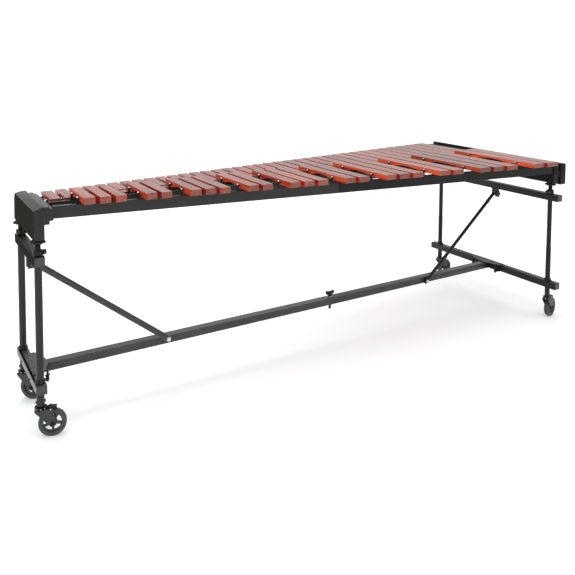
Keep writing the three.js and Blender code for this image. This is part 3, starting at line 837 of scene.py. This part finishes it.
def make_leg(end, tag):
    """A leg's tube, its two collars, and the screws in the collars and in the caster stub."""
    low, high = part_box(f"leg_{tag}")
    x, y = (low.x + high.x) / 2, (low.y + high.y) / 2
    upper, lower = LEG_RADII[end]
    top = high.z
    bm = bmesh.new()
    add_sleeve(bm, (x, y, 0), UP, [
        (low.z, lower - 0.001), (low.z + 0.001, lower), (STEP_HEIGHT - 0.002, lower),
        (STEP_HEIGHT + 0.002, upper), (top - 0.001, upper), (top, upper - 0.001)], LEG_BORE)
    piece_of(f"leg_{tag}_tube", bm, COATS[end], "stand", "frame_powder_coat", f"leg_{tag}",
             bevel=0.0004)

    inward = ENDS[end]
    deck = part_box(f"lower_cross_tube_{end}")[1].z
    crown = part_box(f"upper_cross_tube_{end}")[1].z
    collar = 0.018
    collars = bmesh.new()
    add_sleeve(collars, (x, y, 0), UP, [
        (deck + SEAT_GAP, 0.0168), (deck + 0.0014, collar), (deck + 0.0100, collar),
        (deck + 0.012, 0.0165)], lower)
    add_sleeve(collars, (x, y, 0), UP, [
        (crown + SEAT_GAP, 0.0168), (crown + 0.0014, collar), (top - 0.0012, collar),
        (top, 0.0168)], upper)
    ears = x + inward * 0.0225
    for way in (-1, 1):
        ear = y + way * 0.004
        add_box(collars, (ears - 0.0065, ear - 0.0026, crown + 0.003),
                (ears + 0.0065, ear + 0.0026, top - 0.002))
    piece_of(f"leg_{tag}_collars", collars, BLACK_PLASTIC, "stand", "knob_plastic", bevel=0.0007)

    screws = bmesh.new()
    middle = (crown + top) / 2
    across_ears = x + inward * 0.0235
    add_rod(screws, (across_ears, y - 0.016, middle), (across_ears, y + 0.014, middle), 0.0024, 12)
    add_hex(screws, (across_ears, y + 0.0066, middle), (0, 1, 0), 0.009, 0.0045)
    add_turned(screws, (across_ears, y - 0.0066, middle), (0, -1, 0),
               [(0, 0.0045), (0.004, 0.0052), (0.008, 0.0052), (0.0095, 0.0035)], 20)
    stub = low.z + 0.0163
    sunk = 0.0004
    for way in (-1, 1):
        add_hex(screws, (x + way * (lower - sunk), y, stub), (way, 0, 0), 0.0105, 0.0048)
        add_hex(screws, (x, y + way * (collar - sunk), deck + 0.0062), (0, way, 0), 0.006, 0.0028)
    piece_of(f"leg_{tag}_screws", screws, DARK_STEEL, "stand", "caster_steel", bevel=0.0004)


def threaded(foot, crest, root, rise, pitch, end):
    """A coarse thread's profile from a height up to an end, as (height, radius)."""
    profile = []
    while foot < end:
        profile += [(foot, crest), (foot + rise, root)]
        foot += pitch
    return profile


def make_height_post(tag):
    """A height post with its threaded end and lock nut, and its lobed levelling knob."""
    low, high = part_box(f"height_post_{tag}")
    x, y = (low.x + high.x) / 2, (low.y + high.y) / 2
    radius = (high.x - low.x) / 2
    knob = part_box(f"level_knob_{tag}")
    shoulder = knob[0].z - 0.0025
    bm = bmesh.new()
    add_turned(bm, (x, y, 0), UP, [
        (low.z, radius - 0.0015), (low.z + 0.0015, radius),
        (shoulder - 0.002, radius), (shoulder, radius - 0.002)])
    thread = threaded(shoulder, 0.0059, 0.0051, 0.0007, 0.0014, high.z - 0.0016)
    add_turned(bm, (x, y, 0), UP, [(shoulder - 0.001, 0.005), *thread, (high.z, 0.005)], 24)
    piece_of(f"height_post_{tag}_finished", bm, POST_BLACK, "keyboard", "bright_post",
             f"height_post_{tag}")
    nut = bmesh.new()
    foot = knob[1].z + 0.0005
    add_hex(nut, (x, y, foot), UP, 0.019, high.z - foot)
    piece_of(f"height_post_{tag}_nut", nut, DARK_STEEL, "keyboard", "bright_post", bevel=0.0004)

    star = bmesh.new()
    add_star(star, (x, y, knob[0].z), UP, 0.0284, knob[1].z - knob[0].z, 7, 0.27, 0.0063)
    piece_of(f"level_knob_{tag}_star", star, BLACK_PLASTIC, f"level_knob_{tag}", "knob_plastic",
             f"level_knob_{tag}", bevel=0.0006)


def make_end_caps():
    """Plastic plugs in the open ends of the four cross tubes."""
    for end in ENDS:
        bm = bmesh.new()
        for level in ("lower", "upper"):
            low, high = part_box(f"{level}_cross_tube_{end}")
            for y, way in ((low.y, -1), (high.y, 1)):
                for inset, begin, end_at in ((0.0028, -0.012, 0.0009), (0.0012, 0.0001, 0.0010)):
                    near, far = sorted((y + way * begin, y + way * end_at))
                    add_box(bm, (low.x + inset, near, low.z + inset),
                            (high.x - inset, far, high.z - inset))
        piece_of(f"tube_caps_{end}", bm, CORE_PLASTIC, "stand", "knob_plastic", bevel=0.0004)


def make_treble_trim():
    """The pale strip over the treble tube's outer face, which is painted light, its two screws, and a
    thin black band above it, which is painted shadow along the tube's top edge.
    """
    low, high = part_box("lower_cross_tube_treble")
    # painted light: a pale strip over most of the tube's outer face
    strip = bmesh.new()
    add_box(strip, (low.x - 0.0009, low.y + 0.004, low.z + 0.005),
            (low.x + 0.0004, high.y - 0.004, high.z - 0.0035))
    piece_of("treble_tube_strip", strip, PAINTED_LIGHT_STRIP, "stand", "frame_powder_coat", bevel=0.0003)
    # painted shadow: a thin black band along the tube's top outer edge; the strip's two screws take
    # the same flat black
    shadow_band = bmesh.new()
    add_box(shadow_band, (low.x + 0.001, low.y + 0.036, high.z - 0.0002),
            (low.x + 0.0065, high.y - 0.036, high.z + 0.0007))
    for from_middle in (0.096, -0.073):
        y = (low.y + high.y) / 2 + from_middle
        add_pan_head(shadow_band, (low.x - 0.0007, y, low.z + 0.013), (-1, 0, 0), 0.0045, 0.0022)
    piece_of("treble_tube_seam", shadow_band, SHADOW_BAND_BLACK, "stand", "knob_plastic", bevel=0.0003)


def make_bracket_screws():
    """Nuts, washers and pan heads on the gussets' top plates."""
    bm = bmesh.new()
    for end, inward in ENDS.items():
        low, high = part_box(f"corner_bracket_{end}")
        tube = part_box(f"lower_cross_tube_{end}")
        face = tube[1].x if inward > 0 else tube[0].x
        deck = tube[1].z + SEAT_GAP + PLATE
        middle = (low.y + high.y) / 2
        for y in (-CLAMP_REACH, CLAMP_REACH):
            x = face + inward * 0.015
            add_turned(bm, (x, middle + y * 0.9, deck), UP, [(0, 0.0060), (0.0010, 0.0060)], 24)
            add_hex(bm, (x, middle + y, deck - 0.0001), UP, 0.009, 0.0036)
        for y in (-0.028, 0.028):
            for x in (0.020, -0.0155):
                add_pan_head(bm, (face + inward * x, middle + y, deck), UP, 0.0052, 0.0026)
    piece_of("bracket_screws", bm, DARK_STEEL, "stand", "caster_steel", bevel=0.0003)


def brace_axis(end):
    """The middles of a brace's two ends: the means of its first and last rings of vertices."""
    points = [v.co.copy() for v in NODES[f"brace_{end}"].data.vertices]
    low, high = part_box(f"brace_{end}")
    run = high.x - low.x if end == "bass" else low.x - high.x
    way = Vector((run, 0, high.z - low.z)).normalized()
    along = [point.dot(way) for point in points]
    end_slice = 0.004
    ends = []
    for edge in (min(along), max(along)):
        ring = [point for point, d in zip(points, along) if abs(d - edge) < end_slice]
        ends.append(sum(ring, Vector()) / len(ring))
    return ends


def make_brace_tubes():
    for end, body in (("treble", "stand"), ("bass", "brace_bass")):
        low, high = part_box(f"brace_{end}")
        radius = (high.y - low.y) / 2
        foot, head = brace_axis(end)
        axis = head - foot
        length = axis.length
        bm = bmesh.new()
        add_sleeve(bm, foot, axis, [
            (0, radius - 0.001), (0.001, radius), (length - 0.001, radius),
            (length, radius - 0.001)], radius - 0.002)
        for along in (0.0004, length - 0.0064):
            add_turned(bm, foot + axis.normalized() * along, axis,
                       [(0, radius - 0.0022), (0.003, radius - 0.0019), (0.006, radius - 0.0022)])
        if end == "bass":
            add_sleeve(bm, foot, axis, [
                (length - 0.072, radius), (length - 0.071, radius + 0.0014),
                (length - 0.06, radius + 0.0014), (length - 0.059, radius)], radius - 0.001)
        piece_of(f"brace_{end}_tube", bm, PLATE_COATS[end], body, "frame_powder_coat",
                 f"brace_{end}", bevel=0.0004)


def make_brace_bolts():
    """The bright bolts at the braces' feet, and the bolt through the treble brace's head."""
    pins = bmesh.new()
    for end in ENDS:
        foot, head = brace_axis(end)
        pin = foot + (head - foot).normalized() * 0.014
        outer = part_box(f"stretcher_{end}_half")[0].y
        add_hex(pins, (pin.x, outer + 0.0055, pin.z), (0, -1, 0), 0.0172, 0.0064)
        washer = [(0, 0.0095), (0.0012, 0.0095)]
        add_turned(pins, (pin.x, outer + 0.0064, pin.z), (0, -1, 0), washer, 28)
    piece_of("brace_foot_bolts", pins, BRIGHT_STEEL, "stand", "caster_steel", bevel=0.0004)

    head_bolt = bmesh.new()
    low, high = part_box("brace_bracket_treble")
    x, z = (high.x + low.x) / 2, low.z + 0.014
    for y, way in ((low.y, -1), (high.y, 1)):
        add_turned(head_bolt, (x, y, z), (0, way, 0), [(0, 0.0075), (0.001, 0.0075)], 24)
        add_hex(head_bolt, (x, y + way * 0.0009, z), (0, way, 0), 0.0125, 0.0045)
    piece_of("brace_head_bolt", head_bolt, DARK_STEEL, "stand", "caster_steel", bevel=0.0004)


def make_brace_knob():
    """The star knob on the bass brace's clamp screw."""
    low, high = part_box("brace_knob_bass")
    x, _, z = JOINTS["brace_knob_turn"]["pos_m"]
    axis = (0, 1, 0)
    star = bmesh.new()
    add_star(star, (x, low.y, z), axis, 0.0203, 0.0115, 5, 0.34, 0.002)
    boss = [(0, 0.0095), (0.002, 0.008), (0.0087, 0.0078)]
    add_turned(star, (x, low.y + 0.0112, z), axis, boss, 28)
    cap = [(0, 0.0060), (0.0008, 0.0062), (0.009, 0.0062)]
    add_turned(star, (x, low.y - 0.0001, z), axis, cap, 28)
    add_rod(star, (x, low.y + 0.018, z), (x, high.y, z), 0.0039, 16)
    piece_of("brace_knob_star", star, BLACK_PLASTIC, "brace_knob_bass", "knob_plastic",
             "brace_knob_bass", bevel=0.0006)


def make_wing_bolt():
    """The stretcher's wing bolt, with a bright washer and a round nut under the beam."""
    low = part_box("stretcher_wing_bolt")[0]
    x, y, _ = JOINTS["wing_bolt_turn"]["pos_m"]
    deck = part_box("stretcher_bass_half")[1].z + SEAT_GAP
    bm = bmesh.new()
    add_turned(bm, (x, y, deck), UP, [
        (0.0044, 0.0108), (0.0054, 0.0112), (0.009, 0.0112), (0.0115, 0.0088), (0.0255, 0.0082),
        (0.0285, 0.006)], 36)
    ear = [(0.0045, 0.0105), (0.0125, 0.0102), (0.0205, 0.0140), (0.0243, 0.0205), (0.0240, 0.0278),
           (0.0200, 0.0318), (0.0140, 0.0312), (0.0085, 0.0275), (0.0045, 0.0265)]
    half_ear = 0.0029
    for way in (-1, 1):
        ear_points = [(x + way * a, y, deck + b) for a, b in ear]
        add_prism(bm, ear_points, (0, -half_ear, 0), (0, half_ear, 0))
    length = deck - low.z
    thread = threaded(0.001, 0.004, 0.0034, 0.0006, 0.0012, length - 0.002)
    add_turned(bm, (x, y, low.z), UP, [(0, 0.003), *thread, (length + 0.001, 0.004)], 20)
    add_turned(bm, (x, y, low.z + 0.0015), UP, [
        (0, 0.0035), (0.001, 0.0055), (0.003, 0.0068), (0.0055, 0.0072), (0.008, 0.0068),
        (0.010, 0.0055), (0.011, 0.0035)], 24)
    washer = bmesh.new()
    add_turned(washer, (x, y, deck), UP, [
        (0, 0.0124), (0.0004, 0.0128), (0.0042, 0.0128), (0.0046, 0.0122)], 36)
    piece_of("wing_bolt_washer", washer, BRIGHT_STEEL, "wing_bolt", "caster_steel", bevel=0.0002)
    piece_of("wing_bolt_finished", bm, BLACK_PLASTIC, "wing_bolt", "knob_plastic",
             "stretcher_wing_bolt", bevel=0.0007)


# ---- casters
AXLE_HEIGHT = 0.05
WHEEL_RADIUS = 0.04995
TRAIL = 0.04


def caster_frame(tag):
    """The caster's own frame: origin on the floor under its swivel, X towards its wheel."""
    swivel = Vector(JOINTS[f"swivel_{tag}"]["pos_m"])
    roll = Vector(JOINTS[f"roll_{tag}"]["pos_m"])
    turn = math.atan2(roll.y - swivel.y, roll.x - swivel.x)
    return Matrix.Translation((swivel.x, swivel.y, 0)) @ Matrix.Rotation(turn, 4, "Z")


def cheek_outline():
    """A fork cheek: wide under the race, and rounded about the axle."""
    around = [math.radians(turn) for turn in range(212, 372, 16)]
    arc = [(TRAIL + 0.012 * math.cos(t), AXLE_HEIGHT + 0.012 * math.sin(t)) for t in around]
    return [(-0.0215, 0.107), (-0.022, 0.1025), (-0.017, 0.0965), *arc, (0.0505, 0.068),
            (0.0445, 0.098), (0.041, 0.1085), (0.0375, 0.11), (0.030, 0.11), (0.026, 0.107)]


def make_fork(tag, place):
    """A caster's fork, with its ball race, stem, axle, axle nuts and brake shaft."""
    plates = bmesh.new()
    for inner, outer in ((-0.018, -0.015), (0.015, 0.018)):
        add_prism(plates, [(x, 0, z) for x, z in cheek_outline()], (0, inner, 0), (0, outer, 0))
    crown = []
    for t in turns(40):
        wide = math.copysign(min(1, abs(math.sin(t)) * 1.35), math.sin(t))
        crown.append((0.022 * math.cos(t), 0.018 * wide))
    loft(plates, [[(x, y, z) for x, y in crown] for z in (0.1022, 0.107)])
    plates.transform(place)
    piece_of(f"caster_fork_{tag}_plates", plates, DARK_COAT, f"caster_{tag}", "caster_steel",
             f"caster_fork_{tag}", bevel=0.0009, segments=3)

    race = bmesh.new()
    add_turned(race, (0, 0, 0.1065), UP, [
        (-0.0005, 0.0205), (0.0003, 0.0217), (0.0014, 0.0217), (0.0022, 0.0180), (0.0062, 0.0180),
        (0.0070, 0.0219), (0.0086, 0.0219), (0.0094, 0.0205), (0.0104, 0.0150)], 56)
    add_turned(race, (0, 0, 0.1165), UP, [(0, 0.010), (0.037, 0.010), (0.0385, 0.0085)], 32)
    add_rod(race, (TRAIL, -0.0205, AXLE_HEIGHT), (TRAIL, 0.0205, AXLE_HEIGHT), 0.004, 24)
    for way in (-1, 1):
        washer = [(0, 0.0078), (0.0008, 0.0078)]
        add_turned(race, (TRAIL, way * 0.018, AXLE_HEIGHT), (0, way, 0), washer, 28)
        add_hex(race, (TRAIL, way * 0.0187, AXLE_HEIGHT), (0, way, 0), 0.0125, 0.0042)
    race.transform(place)
    piece_of(f"caster_race_{tag}", race, RACE_BLACK, f"caster_{tag}", "caster_steel", bevel=0.0004)

    balls = bmesh.new()
    ball_ring = 0.0190
    for turn in turns(8):
        ball = (ball_ring * math.cos(turn), ball_ring * math.sin(turn), 0.1107)
        bmesh.ops.create_uvsphere(
            balls, u_segments=16, v_segments=10, radius=0.0027, matrix=Matrix.Translation(ball))
    add_rod(balls, (0.034, -0.0186, 0.105), (0.034, 0.0186, 0.105), 0.0024, 16)
    balls.transform(place)
    piece_of(f"caster_bearings_{tag}", balls, BRIGHT_STEEL, f"caster_{tag}", "caster_steel")


def both_sides(half):
    """A profile with its mirror image, from its half on the low side of the middle."""
    return [(-along, radius) for along, radius in half] + list(reversed(half))


def make_wheel(tag, place):
    """A tyre with rounded shoulders on a core with five windows."""
    centre = (TRAIL, 0, AXLE_HEIGHT)
    tyre = bmesh.new()
    add_sleeve(tyre, centre, (0, 1, 0), both_sides([
        (0.0121, 0.0375), (0.0125, 0.044), (0.0121, 0.0470), (0.0105, 0.0487), (0.0075, 0.0496),
        (0.003, WHEEL_RADIUS)]), 0.0365, 96)
    tyre.transform(place)
    piece_of(f"caster_tyre_{tag}", tyre, TYRE, f"wheel_{tag}", "caster_rubber", bevel=0.0005)

    core = bmesh.new()
    add_sleeve(core, centre, (0, 1, 0), both_sides([
        (0.0135, 0.0075), (0.0135, 0.0118), (0.0125, 0.0128), (0.0045, 0.0140), (0.0042, 0.0322),
        (0.0100, 0.0340), (0.0108, 0.0352), (0.0108, 0.0366)]), 0.0043, 80)
    core.transform(place)
    piece = from_bmesh(f"caster_core_{tag}", core)
    windows = bmesh.new()
    for i in range(5):
        middle = 2 * math.pi * (i + 0.3) / 5
        outline = []
        for radius, reach, way in ((0.0322, 0.49, 1), (0.0168, 0.36, -1)):
            for turn in (middle + way * reach * k / 4 for k in range(-4, 5)):
                x, z = radius * math.cos(turn), radius * math.sin(turn)
                outline.append((TRAIL + x, 0, AXLE_HEIGHT + z))
        add_prism(windows, outline, (0, -0.012, 0), (0, 0.012, 0))
    windows.transform(place)
    cutter = from_bmesh("window_cutter", windows)
    bevel_edges(cutter, 0.003, 4, 40)
    carved(piece, baked(cutter))
    rounded(piece, 0.0007, 2)
    finish_piece(piece, CORE_PLASTIC, f"wheel_{tag}", "caster_rubber", f"caster_wheel_{tag}")


def make_brake(tag, place):
    """A caster's pedal with three ribs for the foot."""
    refined(f"brake_pedal_{tag}", BLACK_PLASTIC, "knob_plastic", 0.0022, 4)
    ribs = bmesh.new()
    for x in (0.041, 0.0455, 0.050):
        add_box(ribs, (x - 0.0011, -0.0085, 0.1102), (x + 0.0011, 0.0085, 0.1112))
    ribs.transform(place)
    piece_of(f"brake_ribs_{tag}", ribs, BLACK_PLASTIC, f"brake_{tag}", "knob_plastic", bevel=0.0004)


def make_stand():
    make_tubes()
    for end, tag in TAGS:
        make_leg(end, tag)
        make_height_post(tag)
        place = caster_frame(tag)
        make_fork(tag, place)
        make_wheel(tag, place)
        make_brake(tag, place)
    make_end_caps()
    make_treble_trim()
    make_bracket_screws()
    make_brace_tubes()
    make_brace_bolts()
    make_brace_knob()
    make_wing_bolt()


# ---- studio
def make_studio():
    scene = bpy.context.scene
    world = bpy.data.worlds.new("studio")
    world.use_nodes = True
    sky = world.node_tree.nodes["Background"]
    sky.inputs["Color"].default_value = (1, 1, 1, 1)
    sky.inputs["Strength"].default_value = 1.08
    scene.world = world
    scene.view_settings.view_transform = "Standard"

    bm = bmesh.new()
    bmesh.ops.create_grid(bm, x_segments=8, y_segments=8, size=40)
    floor = from_bmesh("studio_floor", bm)
    paper = Surface("studio_paper", 0.9)
    clouds = paper.noise(0.6)
    paper.colour(paper.ramp(clouds, (0.3, (0.922, 0.932, 0.934)), (0.7, (0.93, 0.94, 0.942))))
    # a little light of its own lifts the floor under the bars, and takes their red off it
    paper.shader.inputs["Emission Color"].default_value = (0.82, 1.0, 1.0, 1)
    paper.shader.inputs["Emission Strength"].default_value = 0.15
    floor.data.materials.append(paper.material)

    for name, place, size, power in (
        ("overhead_softbox", (-0.6, 0.6, 3.6), 2.6, 70),
        ("bass_softbox", (3.4, -2.6, 2.4), 2.2, 6),
    ):
        light = bpy.data.lights.new(name, "AREA")
        light.shape = "SQUARE"
        light.size = size
        light.energy = power
        lamp = bpy.data.objects.new(name, light)
        lamp.location = place
        aim = Vector((0, 0, 0.5)) - Vector(place)
        lamp.rotation_euler = aim.to_track_quat("-Z", "Y").to_euler()
        scene.collection.objects.link(lamp)


def make_camera():
    """The viewing place: past the treble end, on the accidentals' side."""
    data = bpy.data.cameras.new("camera")
    data.sensor_width = 36
    data.lens = 41.89
    data.shift_x, data.shift_y = -0.0162, -0.3296
    camera = bpy.data.objects.new("camera", data)
    place = Matrix.Translation((-1.7805, -2.6361, 1.4057))
    for degrees, axis in ((-32.189, "Z"), (90 - 3.7075, "X"), (0.3827, "Z")):
        place = place @ Matrix.Rotation(math.radians(degrees), 4, axis)
    camera.matrix_world = place
    data.clip_end = 100
    bpy.context.scene.collection.objects.link(camera)
    bpy.context.scene.camera = camera


make_bars()
make_rails()
make_ends()
make_stand()
make_studio()
make_camera()
